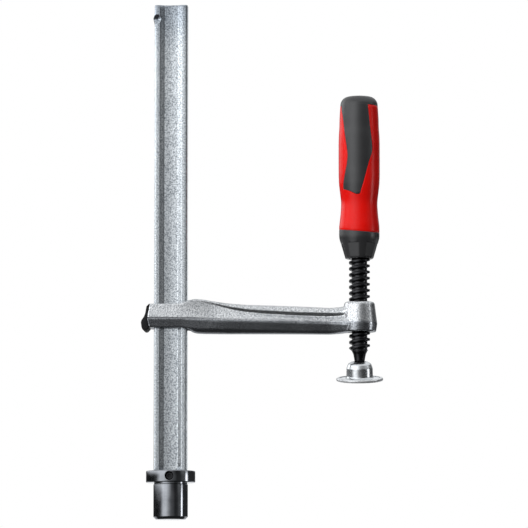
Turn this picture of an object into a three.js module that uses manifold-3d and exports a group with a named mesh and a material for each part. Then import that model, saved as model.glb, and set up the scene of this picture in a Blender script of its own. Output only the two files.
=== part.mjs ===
// Clamping element for a welding or assembly table with 28 mm holes: an F clamp whose rail stands on a
// stepped bolt instead of a fixed jaw. Millimetres, +Z up along the rail, origin on the bolt's axis at
// the underside of its collar, +X towards the spindle.
import * as THREE from "three";
import { mergeVertices } from "three/addons/utils/BufferGeometryUtils.js";
import Module from "manifold-3d";

const wasm = await Module();
wasm.setup();

// ---------------------------------------------------------------- driving dimensions

const GAP = 0.2; // between pieces that touch on the real clamp
const ROUND = 28; // facets round a turned piece

const RAIL = { width: 27, thick: 13, foot: 9.6, top: 391, corner: 1.6 };
const GROOVE = { depth: 1.8, floor: 5.1, mouth: 8.9 }; // half-widths of the rolled groove
const TENON = { radius: 6, bottom: -12 };
const END_STOP = { x: -11.4, z: 379.6, radius: 3.6, depth: 2.4, bulge: 1.1 };

const BOLT = { pin: 14, collar: 20, collarTop: 9.6, bottom: -29.8, chamfer: 2, edge: 0.8, facets: 36 };
const UNDERCUT = { height: 1.5, depth: 0.5, rise: 0.3, outer: 14.3 }; // relief in the corner under the collar
const CROSS_HOLE = { radius: 3.25, z: 5 };
const GRUB = { radius: 3, outer: -14.2, inner: -6.3, socket: 1.5 };

const THROAT = 140; // rail edge to screw axis
const SCREW_X = RAIL.width / 2 + THROAT;

const SLOT_CLEARANCE = 0.4; // round the rail, in the arm's slot
const BOSS = { bottom: 122, top: 146.6, waist: 128.8, low: 12.9, wide: 14.4, high: 12.3, edge: 2 };

const THREAD = { major: 8.5, minor: 6.3, pitch: 5, crest: 2.2, flank: 0.55, crestAt: 1 };
const NUT_CLEARANCE = 0.3;
const THREAD_STEPS = 18; // facets round one turn of thread
const SPINDLE = { threadLow: 106.2, threadHigh: 187.4, tang: 6, tangTop: 253.4, neck: 3.7 };

const PAD = { ballZ: 91.9, tilt: 11, ball: 6.5, flange: 19, dome: 10.6, domeTop: 5.1, bottom: -9.6 };
const PAD_SHELL = { wall: 1.2, mouth: 6.2, corner: 3.2, plate: 1.5, rim: 2.2 };
const LIP = { low: 20, high: 36 }; // elevations, in degrees, of the cap's lip that holds the ball
const SEAT = { outer: 7.8, low: -90, high: -21 }; // spherical cup under the ball
const RING = { outer: 7.8, low: -18, high: -5 }; // spherical spring ring round the ball
const RUNNING = 0.12; // between the ball and the pieces that hold it

const HANDLE = { bottom: 181.8, length: 132.9, skin: 2, capBottom: 306.8, spigot: 10.4, spigotLow: 186.4 };
const COLLAR_EDGE = { z: 204.2, perX: -0.084, perY: 0.071 }; // tilted plane where the red body starts
const FLATS = { count: 6, first: -18, depth: 0.8, ledge: 12.2 };

// Handle radius at heights above its lower end, between the nose cone and the rounded top.
const HANDLE_NOSE = [[0, 11.1], [0.5, 11.6], [16.4, 16.2], [18.5, 16.4]];
const HANDLE_SWELL = [
  [26.7, 16.4], [30, 15.95], [36.5, 15.24], [43.5, 14.78], [47, 14.82], [54, 15.68], [61, 16.48],
  [68.5, 16.78], [94, 16.78], [101, 16.6], [107, 16.12], [115, 15.95], [122, 15.55], [125.5, 15.25],
];
const HANDLE_CROWN = { radial: 6.8, height: 7.3 };

// Grip panel on the handle, as offsets from the handle's axis and heights: left edge down, right edge up.
const PANEL = [
  [-14.9, 309.4], [-13.2, 298.4], [-11.2, 282.9], [-9.8, 272.4], [-9.1, 265.4], [-9.7, 258.9],
  [-12.2, 245.4], [-12.7, 237.8], [-8.6, 235.8], [-1.6, 233.3], [1.2, 235], [11.5, 270.9], [7.8, 309.4],
];

// Half-sections of the forged arm at stations along X. Each gives [half-width, height] from the underside
// up: bottom edge, parting line below and above, ledge, root of the top bead, its side, its crown. The
// keel is how far the rounded underside hangs below its edges.
const ARM = [
  { x: -20, keel: 0, bottom: [12.1, 125.7], low: [13.1, 130], high: [13.1, 132.7],
    ledge: [12.3, 133.9], root: [11.4, 144.3], side: [11.2, 144.8], crown: [10.6, 145.1] },
  { x: 9, keel: 0, bottom: [12.1, 125.7], low: [13.1, 130], high: [13.1, 132.7],
    ledge: [12.3, 133.9], root: [11.4, 144.3], side: [11.2, 144.8], crown: [10.6, 145.1] },
  { x: 14, keel: 0.6, bottom: [12.1, 125], low: [13, 130], high: [13, 132.6],
    ledge: [12.3, 133.7], root: [11, 146.4], side: [10.8, 147.2], crown: [10, 147.9] },
  { x: 20, keel: 2.4, bottom: [11.9, 124.3], low: [12.9, 130], high: [12.9, 132.3],
    ledge: [12.3, 133.4], root: [10.4, 147.3], side: [10.2, 148.2], crown: [9.2, 148.9] },
  { x: 27, keel: 2.5, bottom: [11.6, 124.1], low: [12.8, 130], high: [12.8, 132],
    ledge: [12.2, 133], root: [9.8, 146.7], side: [9.8, 147.6], crown: [8.2, 148.4] },
  { x: 34, keel: 2.4, bottom: [11.3, 124], low: [12.6, 130], high: [12.6, 131.8],
    ledge: [12, 132.8], root: [8.9, 144.9], side: [9.2, 146.1], crown: [6.4, 147.1] },
  { x: 48, keel: 2.2, bottom: [10.6, 123.7], low: [12.2, 129.9], high: [12.2, 131.5],
    ledge: [11.6, 132.4], root: [7.5, 140.8], side: [8.2, 143], crown: [5, 145.1] },
  { x: 61, keel: 1.9, bottom: [10, 123.4], low: [11.7, 129.6], high: [11.7, 131.2],
    ledge: [11.1, 132.1], root: [6.3, 138.2], side: [7.3, 141.2], crown: [4.2, 144] },
  { x: 79, keel: 1.5, bottom: [9.4, 122.9], low: [11.1, 129.1], high: [11.1, 130.9],
    ledge: [10.5, 131.7], root: [5.6, 136.4], side: [6.8, 140], crown: [3.8, 143.4] },
  { x: 105, keel: 1, bottom: [8.2, 122.2], low: [9.9, 128.3], high: [9.9, 130.7],
    ledge: [9.4, 131.5], root: [5.2, 135], side: [6.5, 138.6], crown: [3.6, 142.4] },
  { x: 130, keel: 1, bottom: [7.6, 121.9], low: [9.5, 127.7], high: [9.5, 130.2],
    ledge: [9, 131], root: [5.2, 134], side: [6.6, 137.9], crown: [3.8, 141.1] },
  { x: 140, keel: 0.6, bottom: [8.4, 121.9], low: [10.6, 127.4], high: [10.6, 130],
    ledge: [10, 130.8], root: [6.4, 134.4], side: [7.6, 138.4], crown: [4.6, 141.9] },
  { x: 146, keel: 0, bottom: [9.6, 122], low: [12, 127.2], high: [12, 129.9],
    ledge: [11.4, 130.6], root: [8.4, 135.4], side: [9.2, 139.8], crown: [6.2, 144] },
];

// Rear end of the arm's head, from the top down: the slip guard lies against it.
const HEAD_BACK = [[-16.7, 145.1], [-18.5, 134], [-18.8, 132.8], [-17.2, 125.7]];
const GUARD_OUTER = [
  [-19.2, 142.8], [-20.3, 136.8], [-21.4, 134.2], [-23.3, 131.6], [-23.7, 129.8], [-23.3, 126.2],
  [-22.6, 124.2], [-21.4, 123.2], [-19.6, 123.4],
];
const GUARD = { half: 11.6, pocketBack: -21.3, pocketLow: 127.2, pocketHigh: 133.2, pocketHalf: 4.4 };
const WINDOW = { low: 127, high: 133, half: 4 };
const SHOE = { face: -13.7, back: -18.9 };
const SPRING = { thick: 0.5, back: -21.1, sag: 1.4 };

const COLOURS = {
  galvanised: { color: 0xb4bcc2, roughness: 0.38, metalness: 1 },
  forging: { color: 0xc3c8cb, roughness: 0.5, metalness: 0.9 },
  zinc: { color: 0xd2d8dc, roughness: 0.22, metalness: 1 },
  blackOxide: { color: 0x17171a, roughness: 0.35, metalness: 0.8 },
  springSteel: { color: 0x70757a, roughness: 0.35, metalness: 1 },
  guardPlastic: { color: 0x0c0c0d, roughness: 0.8, metalness: 0 },
  redPlastic: { color: 0xd81f14, roughness: 0.4, metalness: 0 },
  darkGrip: { color: 0x454549, roughness: 0.65, metalness: 0 },
};

// ---------------------------------------------------------------- helpers

// A closed geometry as a manifold-3d solid, turned right side out.
function solid(geometry) {
  const bare = new THREE.BufferGeometry();
  bare.setAttribute("position", geometry.getAttribute("position"));
  bare.setIndex(geometry.index);
  const merged = mergeVertices(bare, 1e-4);
  const triVerts = new Uint32Array(merged.index.array);
  const vertProperties = new Float32Array(merged.attributes.position.array);
  const made = new wasm.Manifold(new wasm.Mesh({ numProp: 3, vertProperties, triVerts }));
  if (made.volume() >= 0) return made;
  for (let i = 0; i < triVerts.length; i += 3) {
    [triVerts[i + 1], triVerts[i + 2]] = [triVerts[i + 2], triVerts[i + 1]];
  }
  return new wasm.Manifold(new wasm.Mesh({ numProp: 3, vertProperties, triVerts }));
}

function geometryOf(manifold) {
  const mesh = manifold.getMesh();
  const flat = new Float32Array(mesh.numVert * 3);
  for (let i = 0; i < mesh.numVert; i++) {
    flat.set(mesh.vertProperties.subarray(i * mesh.numProp, i * mesh.numProp + 3), i * 3);
  }
  const geometry = new THREE.BufferGeometry();
  geometry.setAttribute("position", new THREE.BufferAttribute(flat, 3));
  geometry.setIndex(new THREE.BufferAttribute(mesh.triVerts, 1));
  geometry.computeVertexNormals();
  return geometry;
}

const vectors = (points) => points.map(([a, b]) => new THREE.Vector2(a, b));

// A turned solid about Z from [radius, height] points that start and end on the axis, or that close.
function turned(points, facets = ROUND) {
  return solid(new THREE.LatheGeometry(vectors(points), facets).rotateX(Math.PI / 2));
}

// A ring-shaped turned solid: its outline doesn't reach the axis.
function turnedRing(points, facets = ROUND) {
  return turned([...points, points[0]], facets);
}

// An outline of [x, z] points between two values of Y.
function plateXZ(points, low, high) {
  const shape = new THREE.Shape(vectors(points));
  const made = new THREE.ExtrudeGeometry(shape, { depth: high - low, bevelEnabled: false });
  return solid(made.rotateX(Math.PI / 2).translate(0, high, 0));
}

// An outline of [x, y] points between two heights.
function plateXY(points, low, high) {
  const shape = new THREE.Shape(vectors(points));
  const made = new THREE.ExtrudeGeometry(shape, { depth: high - low, bevelEnabled: false });
  return solid(made.translate(0, 0, low));
}

function box(low, high) {
  const size = high.map((v, i) => v - low[i]);
  const centre = high.map((v, i) => (v + low[i]) / 2);
  return solid(new THREE.BoxGeometry(...size).translate(...centre));
}

// Rings of the same number of [x, y, z] points, joined into a closed skin with fanned ends.
function loft(rings) {
  const count = rings[0].length;
  const points = rings.flat();
  const faces = [];
  rings.slice(1).forEach((_, r) => {
    for (let i = 0; i < count; i++) {
      const j = (i + 1) % count;
      const [a, b] = [r * count + i, r * count + j];
      faces.push(a, b, a + count, b, b + count, a + count);
    }
  });
  for (const [ring, first, flip] of [[rings[0], 0, true], [rings.at(-1), points.length - count, false]]) {
    const middle = [0, 1, 2].map((k) => ring.reduce((sum, p) => sum + p[k], 0) / count);
    const hub = points.push(middle) - 1;
    for (let i = 0; i < count; i++) {
      const [a, b] = [first + i, first + ((i + 1) % count)];
      faces.push(...(flip ? [hub, b, a] : [hub, a, b]));
    }
  }
  const geometry = new THREE.BufferGeometry();
  geometry.setAttribute("position", new THREE.Float32BufferAttribute(points.flat(), 3));
  geometry.setIndex(faces);
  return solid(geometry);
}

// A right-hand thread about Z as a solid rod, grown all over by the clearance.
function threadRod(low, high, clearance = 0) {
  const { major, minor, pitch, crest, flank, crestAt } = THREAD;
  const half = crest / 2 + clearance * 0.8;
  const profile = [
    [-half - flank, minor + clearance], [-half, major + clearance],
    [half, major + clearance], [half + flank, minor + clearance],
  ];
  const firstTurn = Math.floor((low - crestAt) / pitch) - 1;
  const turns = Math.ceil((high - low) / pitch) + 2;
  const steps = turns * THREAD_STEPS;
  const per = profile.length;
  const points = [];
  for (let i = 0; i <= steps + THREAD_STEPS; i++) {
    const angle = (2 * Math.PI * i) / THREAD_STEPS;
    const rise = crestAt + pitch * (firstTurn + i / THREAD_STEPS);
    for (const [along, radius] of profile) {
      points.push([radius * Math.cos(angle), radius * Math.sin(angle), rise + along]);
    }
  }
  const at = (i, m) => (m < per ? i * per + m : (i + THREAD_STEPS) * per + m - per);
  const faces = [];
  const quad = (a, b, c, d) => faces.push(a, b, c, a, c, d);
  for (let i = 0; i < steps; i++) {
    for (let m = 0; m < per; m++) quad(at(i, m), at(i + 1, m), at(i + 1, m + 1), at(i, m + 1));
  }
  const lowHub = points.push([0, 0, points[0][2] - pitch]) - 1;
  const highHub = points.push([0, 0, points[at(steps, per)][2] + pitch]) - 1;
  for (let i = 0; i < THREAD_STEPS; i++) {
    faces.push(lowHub, at(i + 1, 0), at(i, 0));
    faces.push(highHub, at(steps + i, 0), at(steps + i + 1, 0));
  }
  for (let m = 0; m < per; m++) {
    faces.push(lowHub, at(0, m), at(0, m + 1));
    faces.push(highHub, at(steps, m + 1), at(steps, m));
  }
  const geometry = new THREE.BufferGeometry();
  geometry.setAttribute("position", new THREE.Float32BufferAttribute(points.flat(), 3));
  geometry.setIndex(faces);
  return solid(geometry).translate([SCREW_X, 0, 0]);
}

const group = new THREE.Group();

function add(name, manifold, look, parent = group) {
  const mesh = new THREE.Mesh(geometryOf(manifold), new THREE.MeshStandardMaterial(COLOURS[look]));
  mesh.name = name;
  parent.add(mesh);
}

// ---------------------------------------------------------------- stand: rail and bolt

// Rolled section of the rail, as [x, y] points round it: rounded corners and a groove on each wide face.
function railSection() {
  const [w, t, c] = [RAIL.width / 2, RAIL.thick / 2, RAIL.corner];
  const corner = (turn) => new THREE.Vector2(w - c + c * Math.cos(turn), t - c + c * Math.sin(turn));
  const quarter = [0, 30, 60, 90].map((a) => corner(THREE.MathUtils.degToRad(a)));
  quarter.push(new THREE.Vector2(GROOVE.mouth, t), new THREE.Vector2(GROOVE.floor, t - GROOVE.depth));
  const upper = [...quarter, ...quarter.map((p) => new THREE.Vector2(-p.x, p.y)).reverse()];
  const lower = upper.map((p) => new THREE.Vector2(-p.x, -p.y));
  return [...upper, ...lower].map((p) => [p.x, p.y]);
}

function rail() {
  const bar = plateXY(railSection(), RAIL.foot + GAP, RAIL.top);
  const foot = RAIL.foot + GAP;
  const tenon = turned([[0, TENON.bottom], [TENON.radius - 0.8, TENON.bottom],
    [TENON.radius, TENON.bottom + 0.8], [TENON.radius, foot + 2], [0, foot + 2]], 32);
  const { x, z, radius, depth, bulge } = END_STOP;
  const front = -RAIL.thick / 2;
  const swell = solid(new THREE.SphereGeometry(1, 16, 12)
    .scale(radius - 1, RAIL.thick * 0.28, radius)
    .translate(-RAIL.width / 2 - bulge + radius - 1, front / 2, z));
  const crater = turned([[0, -depth], [radius, 0], [radius, 1], [0, 1]], 24)
    .rotate([90, 0, 0]).translate([x, front, z]);
  return bar.add(tenon).add(swell).subtract(crater);
}

function bolt() {
  const { pin, collar, collarTop, bottom, chamfer, edge, facets } = BOLT;
  const { height, depth, rise, outer } = UNDERCUT;
  const bore = TENON.radius + GAP;
  const boreEnd = TENON.bottom - GAP * 2;
  const body = turned([
    [0, bottom], [pin - chamfer, bottom], [pin, bottom + chamfer], [pin, -height],
    [pin - depth, -height], [pin - depth, rise], [outer, 0], [collar - edge, 0],
    [collar, edge], [collar, collarTop - edge], [collar - edge, collarTop], [bore, collarTop],
    [bore, boreEnd], [0, boreEnd],
  ], facets);
  const reach = collar + 2;
  const cross = turned([[0, 0], [CROSS_HOLE.radius, 0], [CROSS_HOLE.radius, reach], [0, reach]], 24)
    .rotate([90, 0, 0]).translate([0, 0, CROSS_HOLE.z]);
  return body.subtract(cross);
}

function grubScrew() {
  const { radius, outer, inner, socket } = GRUB;
  const body = turned([[0, -inner], [radius - 0.8, -inner], [radius, 0.8 - inner],
    [radius, -outer - 0.4], [radius - 0.4, -outer], [0, -outer]], 24);
  const reach = socket / Math.cos(Math.PI / 6);
  const hexagon = [0, 1, 2, 3, 4, 5].map((i) => i * Math.PI / 3)
    .map((turn) => [reach * Math.cos(turn), reach * Math.sin(turn)]);
  const key = plateXY(hexagon, -outer - 3, -outer + 1);
  return body.subtract(key).rotate([90, 0, 0]).translate([0, 0, CROSS_HOLE.z]);
}

// ---------------------------------------------------------------- sliding arm and its slip guard

function armRing({ x, keel, bottom, low, high, ledge, root, side, crown }) {
  const belly = [bottom[0] * 0.6, bottom[1] - keel * 0.72];
  const half = [belly, bottom, low, high, ledge, root, side, crown];
  const right = half.map(([y, z]) => [x, y, z]);
  const left = half.toReversed().map(([y, z]) => [x, -y, z]);
  return [[x, 0, bottom[1] - keel], ...right, [x, 0, crown[1]], ...left];
}

function slidingArm() {
  const { bottom, top, waist, low, wide, high, edge } = BOSS;
  const boss = turned([
    [0, bottom], [low, bottom], [low + 0.8, bottom + 1], [wide, waist], [high, top - edge],
    [high - edge * 0.3, top - edge * 0.3], [high - edge, top], [0, top],
  ]).translate([SCREW_X, 0, 0]);
  const [upper, lower] = [HEAD_BACK[0][0], HEAD_BACK.at(-1)[0]];
  const backCut = plateXZ([...HEAD_BACK, [lower, 120], [-30, 120], [-30, 150], [upper, 150]], -20, 20);
  const [w, t] = [RAIL.width / 2 + SLOT_CLEARANCE, RAIL.thick / 2 + SLOT_CLEARANCE];
  const slot = box([-w, -t, 110], [w, t, 160]);
  const window = box([-22, -WINDOW.half, WINDOW.low], [-w + 1, WINDOW.half, WINDOW.high]);
  const throughBoss = turned([[0, bottom - 1], [20, bottom - 1], [20, top + 1], [0, top + 1]], 8)
    .translate([SCREW_X, 0, 0]);
  const thread = threadRod(bottom - 2, top + 2, NUT_CLEARANCE).intersect(throughBoss);
  const mouth = THREAD.major + NUT_CLEARANCE + 0.4;
  const flare = (z, way) => turned([[0, z - way * 2.4], [mouth - 2.4, z - way * 2.4], [mouth, z],
    [mouth, z + way], [0, z + way]]).translate([SCREW_X, 0, 0]);
  return loft(ARM.map(armRing)).subtract(backCut).add(boss).subtract(slot).subtract(window)
    .subtract(thread).subtract(flare(top, 1)).subtract(flare(bottom, -1));
}

function slipGuard() {
  const inner = HEAD_BACK.map(([x, z]) => [x - GAP * 1.2, z]);
  const shell = plateXZ([...inner, ...GUARD_OUTER.toReversed()], -GUARD.half, GUARD.half);
  const { pocketBack, pocketLow, pocketHigh, pocketHalf } = GUARD;
  return shell.subtract(box([pocketBack, -pocketHalf, pocketLow], [-10, pocketHalf, pocketHigh]));
}

function brakeShoe() {
  const half = WINDOW.half - GAP;
  const [low, high] = [WINDOW.low + GAP, WINDOW.high - GAP];
  return plateXZ([[SHOE.back, low], [SHOE.face - 0.6, low], [SHOE.face, low + 0.8],
    [SHOE.face, high - 0.8], [SHOE.face - 0.6, high], [SHOE.back, high]], -half, half);
}

// A bowed strip of spring steel between the guard's pocket and the shoe.
function brakeSpring() {
  const [low, high] = [GUARD.pocketLow + GAP * 2, GUARD.pocketHigh - GAP * 2];
  const reach = (high - low) / 2;
  const bow = (across, offset) => [-3, -2, -1, 0, 1, 2, 3].map((i) => {
    const t = i / 3;
    return [SPRING.back + offset + SPRING.sag * (1 - t * t), (low + high) / 2 + across * reach * t];
  });
  return plateXZ([...bow(1, 0), ...bow(-1, SPRING.thick)], -WINDOW.half + 1, WINDOW.half - 1);
}

// ---------------------------------------------------------------- spindle and swivel pad

function spindle() {
  const { threadLow, threadHigh, tang, tangTop, neck } = SPINDLE;
  const { ball, ballZ } = PAD;
  const meet = Math.asin(neck / ball);
  const globe = [];
  for (let i = 0; i <= 12; i++) {
    const a = ((Math.PI - meet) * i) / 12;
    globe.push([ball * Math.sin(a), ballZ - ball * Math.cos(a)]);
  }
  const taper = [[neck + 0.45, ballZ + 6.4], [neck + 1.3, ballZ + 12]];
  const { major, minor } = THREAD;
  const envelope = turned([
    ...globe, ...taper, [minor, threadLow], [major + 0.1, threadLow + 1.6],
    [major + 0.1, threadHigh - 1.5], [tang, threadHigh], [tang, tangTop - 1], [tang - 1, tangTop],
    [0, tangTop],
  ], 2 * THREAD_STEPS).translate([SCREW_X, 0, 0]);
  const core = turned([
    ...globe, ...taper, [minor - 0.1, threadLow], [minor - 0.1, threadHigh - 1.8],
    [tang, threadHigh], [tang, tangTop - 1], [tang - 1, tangTop], [0, tangTop],
  ], THREAD_STEPS).translate([SCREW_X, 0, 0]);
  return threadRod(threadLow, threadHigh).intersect(envelope).intersect(
    box([SCREW_X - 20, -20, threadLow - 1], [SCREW_X + 20, 20, threadHigh])).add(core);
}

// Points of an arc about the ball's centre, between two elevations in degrees.
function arc(radius, from, to, steps) {
  return Array.from({ length: steps + 1 }, (_, i) => {
    const turn = THREE.MathUtils.degToRad(from + ((to - from) * i) / steps);
    return [radius * Math.cos(turn), radius * Math.sin(turn)];
  });
}

// Pad pieces are drawn about the ball's centre, unturned.
function padCap() {
  const { flange, dome, domeTop, bottom } = PAD;
  const { wall, mouth, corner, plate, rim } = PAD_SHELL;
  const face = bottom + plate + GAP;
  const root = 1.4;
  const shoulder = arc(corner, 0, 90, 4).map(([r, z]) => [dome - corner + r, domeTop - corner + z]);
  const lip = arc(PAD.ball + RUNNING, LIP.low, LIP.high, 3);
  return turnedRing([
    [flange - rim, face], [flange - rim, face + wall], [dome + root, face + wall],
    [dome + root * 0.3, face + wall + root * 0.3], [dome, face + wall + root],
    ...shoulder, [mouth, domeTop], ...lip.toReversed(),
    [dome - wall, lip[0][1]], [dome - wall, face],
  ]);
}

// Disc whose rim is rolled up and over the cap's flange.
function padPlate() {
  const { flange, bottom } = PAD;
  const { wall, plate, rim } = PAD_SHELL;
  const lip = bottom + plate + GAP + wall + GAP;
  return turned([
    [0, bottom], [flange - 0.9, bottom], [flange - 0.3, bottom + 0.3], [flange, bottom + 0.9],
    [flange, lip], [flange - 0.4, lip + 0.5], [flange - 1, lip + 0.7], [flange - rim, lip + 0.6],
    [flange - rim - 0.2, lip], [flange - rim + GAP * 2, lip], [flange - rim + GAP * 2, bottom + plate],
    [0, bottom + plate],
  ]);
}

// Spherical shell about the ball, between two elevations.
function ballShell({ outer, low, high }, steps) {
  const inside = arc(PAD.ball + RUNNING, low, high, steps);
  const outside = arc(outer, low, high, steps);
  return turned([...outside, ...inside.toReversed(), outside[0]]);
}

// ---------------------------------------------------------------- handle

// Outline of the handle, shrunk by an inset, as [radius, height] points from its lower end to its top.
function handleOutline(inset = 0) {
  const { bottom, length } = HANDLE;
  const swell = new THREE.SplineCurve(vectors(HANDLE_SWELL)).getPoints(14).map((p) => [p.x, p.y]);
  const { radial, height } = HANDLE_CROWN;
  const [startZ, startR] = HANDLE_SWELL.at(-1);
  const crown = [22.5, 45, 67.5, 90].map((deg) => {
    const a = THREE.MathUtils.degToRad(deg);
    return [startZ + height * Math.sin(a), startR - radial + radial * Math.cos(a)];
  });
  const side = [...HANDLE_NOSE, ...swell, ...crown].map(([h, r]) => [r - inset, bottom + h]);
  return [[0, bottom], ...side, [0, bottom + length - 0.1]];
}

const onScrew = (manifold) => manifold.translate([SCREW_X, 0, 0]);

// Both grip panels' outlines, driven through the handle from the front and from the back.
function panelPrisms(grow) {
  const shape = PANEL.map(([x, z], i) => {
    const before = PANEL.at(i - 1);
    const after = PANEL[(i + 1) % PANEL.length];
    const along = new THREE.Vector2(after[0] - before[0], after[1] - before[1]).normalize();
    return [x - along.y * grow, z + along.x * grow];
  });
  const front = plateXZ(shape, -30, -1);
  return front.add(front.rotate([0, 0, 180]));
}

function above(height) {
  return box([-30, -30, height], [30, 30, HANDLE.bottom + HANDLE.length + 10]);
}

// Everything below the tilted plane at the collar's upper edge.
function belowCollarEdge(lift) {
  const { z, perX, perY } = COLLAR_EDGE;
  const corner = (x, y) => [x, y, z + lift + perX * x + perY * y];
  const square = [[-30, -30], [30, -30], [30, 30], [-30, 30]];
  return loft([square.map(([x, y]) => [x, y, 150]), square.map(([x, y]) => corner(x, y))]);
}

function handleInner(inset) {
  const top = HANDLE.capBottom + 4 - inset + HANDLE.skin;
  return turned(handleOutline(inset)).intersect(box([-30, -30, HANDLE.bottom - 5], [30, 30, top]));
}

function handleCore() {
  const { bottom, capBottom, spigot, spigotLow } = HANDLE;
  const skin = turned(handleOutline()).subtract(panelPrisms(-GAP / 2))
    .subtract(above(capBottom - GAP / 2));
  const body = skin.add(handleInner(HANDLE.skin)).subtract(belowCollarEdge(GAP / 2));
  const plugTop = bottom + 30;
  const plug = turned([[0, spigotLow], [spigot, spigotLow], [spigot, plugTop], [0, plugTop]]);
  const bore = SPINDLE.tang + GAP;
  const [below, boreTop] = [bottom - 4, SPINDLE.tangTop + GAP];
  const hole = turned([[0, below], [bore, below], [bore, boreTop], [0, boreTop]]);
  const mouth = THREAD.major + GAP * 2;
  const mouthTop = SPINDLE.threadHigh + GAP;
  return onScrew(body.add(plug).subtract(hole)
    .subtract(turned([[0, below], [mouth, below], [mouth, mouthTop], [0, mouthTop]])));
}

function handleGrip() {
  const region = panelPrisms(GAP / 2).add(above(HANDLE.capBottom + GAP / 2));
  return onScrew(turned(handleOutline()).intersect(region).subtract(handleInner(HANDLE.skin - GAP)));
}

// Lower ferrule: a nose cone with six shallow flats, each ending at a small ledge.
function handleCollar() {
  const { bottom, spigot, spigotLow } = HANDLE;
  const shell = turned(handleOutline()).intersect(belowCollarEdge(-GAP / 2));
  const [lowR, highR] = [HANDLE_NOSE[1][1], HANDLE_NOSE[2][1]];
  const rise = HANDLE_NOSE[2][0] - HANDLE_NOSE[1][0];
  const slope = (highR - lowR) / rise;
  const wedge = [[lowR - FLATS.depth - slope * 2, -2], [25, -2], [25, FLATS.ledge],
    [lowR - FLATS.depth + slope * FLATS.ledge, FLATS.ledge]];
  const cutter = plateXZ(wedge.map(([x, h]) => [x, bottom + h]), -12, 12);
  const mouth = THREAD.major + GAP * 2;
  const step = spigotLow - GAP;
  let made = shell.subtract(turned([[0, 170], [mouth, 170], [mouth, step], [spigot + GAP, step],
    [spigot + GAP, 230], [0, 230]]));
  for (let i = 0; i < FLATS.count; i++) {
    made = made.subtract(cutter.rotate([0, 0, -90 + FLATS.first + (360 / FLATS.count) * i]));
  }
  return onScrew(made);
}

// ---------------------------------------------------------------- assembly

add("rail", rail(), "galvanised");
add("bolt", bolt(), "blackOxide");
add("bolt_grub_screw", grubScrew(), "blackOxide");
add("sliding_arm", slidingArm(), "forging");
add("slip_guard", slipGuard(), "guardPlastic");
add("brake_shoe", brakeShoe(), "springSteel");
add("brake_spring", brakeSpring(), "springSteel");
add("spindle", spindle(), "blackOxide");
add("handle_core", handleCore(), "redPlastic");
add("handle_grip", handleGrip(), "darkGrip");
add("handle_collar", handleCollar(), "darkGrip");

const pad = new THREE.Group();
pad.position.set(SCREW_X, 0, PAD.ballZ);
pad.rotation.x = THREE.MathUtils.degToRad(PAD.tilt);
group.add(pad);
add("pad_cap", padCap(), "zinc", pad);
add("pad_plate", padPlate(), "zinc", pad);

const joint = new THREE.Group();
joint.position.set(SCREW_X, 0, PAD.ballZ);
group.add(joint);
add("ball_seat", ballShell(SEAT, 9), "springSteel", joint);
add("ball_ring", ballShell(RING, 3), "springSteel", joint);

export default group;
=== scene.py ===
import math

import bmesh
import bpy
import numpy as np
from mathutils import Matrix, Vector


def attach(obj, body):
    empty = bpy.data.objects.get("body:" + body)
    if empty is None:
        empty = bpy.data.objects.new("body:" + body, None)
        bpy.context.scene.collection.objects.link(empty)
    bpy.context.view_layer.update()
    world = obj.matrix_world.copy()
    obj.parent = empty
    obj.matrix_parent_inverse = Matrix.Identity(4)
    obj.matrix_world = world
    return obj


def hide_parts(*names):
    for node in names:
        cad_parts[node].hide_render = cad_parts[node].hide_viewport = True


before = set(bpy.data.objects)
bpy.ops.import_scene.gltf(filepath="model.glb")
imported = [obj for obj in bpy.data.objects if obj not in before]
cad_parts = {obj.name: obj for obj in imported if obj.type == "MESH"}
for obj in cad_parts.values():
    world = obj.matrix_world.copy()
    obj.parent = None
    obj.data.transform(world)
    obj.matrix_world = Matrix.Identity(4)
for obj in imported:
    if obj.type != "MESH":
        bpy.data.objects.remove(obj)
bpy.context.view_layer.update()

MM = 0.001

# ------------------------------------------------------------------ sizes, in millimetres

# The rail stands on Z, and the screw axis is at SCREW_X. Round things are given by their radii: pin, collar,
# cross hole, thread, tang, ball, flange, dome, hat and boss.
RAIL_HALF, RAIL_THICK_HALF = 13.5, 6.5
RAIL_FOOT, RAIL_TOP = 9.8, 391.0
GROOVE_DEPTH, GROOVE_FLOOR, GROOVE_MOUTH, GROOVE_BROW = 2.1, 5.7, 9.0, 11.2
TENON_RADIUS, TENON_BOTTOM = 6.0, -12.0
PIN, PIN_BOTTOM, PIN_CHAMFER, COLLAR, COLLAR_HIGH = 14.0, -29.8, 2.1, 20.0, 9.6
RELIEF_LOW, RELIEF_HIGH, RELIEF_DEPTH, RELIEF_OUTER = -1.5, 0.2, 0.5, 14.3  # groove under the collar
CROSS_HOLE, CROSS_HOLE_Z, CROSS_HOLE_MOUTH = 3.25, 5.0, 4.1
STOP_X, STOP_Z, STOP_RADIUS, STOP_DEPTH, STOP_BULGE, STOP_SPREAD = -11.4, 379.6, 3.6, 2.4, 1.1, 2.9

SCREW_X = RAIL_HALF + 140.0
THREAD_MAJOR, THREAD_MINOR, PITCH, CREST_AT = 8.5, 6.3, 5.0, 1.0
THREAD_LOW, THREAD_HIGH, TANG, TANG_TOP = 106.2, 187.4, 6.0, 253.4
NUT_CLEARANCE, SLOT_CLEARANCE, TANG_CLEARANCE, FERRULE_CLEARANCE = 0.3, 0.4, 0.3, 0.5

BALL_Z, BALL, PAD_TILT = 91.9, 6.5, math.radians(11)
PAD_BOTTOM, PLATE_THICK, FLANGE, CAP_WALL = -9.6, 1.2, 19.0, 0.8
DOME, HAT_TOP, HAT_MOUTH, HAT_BRIM, RUNNING = 10.6, 6.0, 6.8, 16.9, 0.12
NECK = [(4.1, 6.2), (4.4, 8.3), (5.0, 11.6), (5.4, 12.7)]  # radius, and height above the ball's centre

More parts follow.
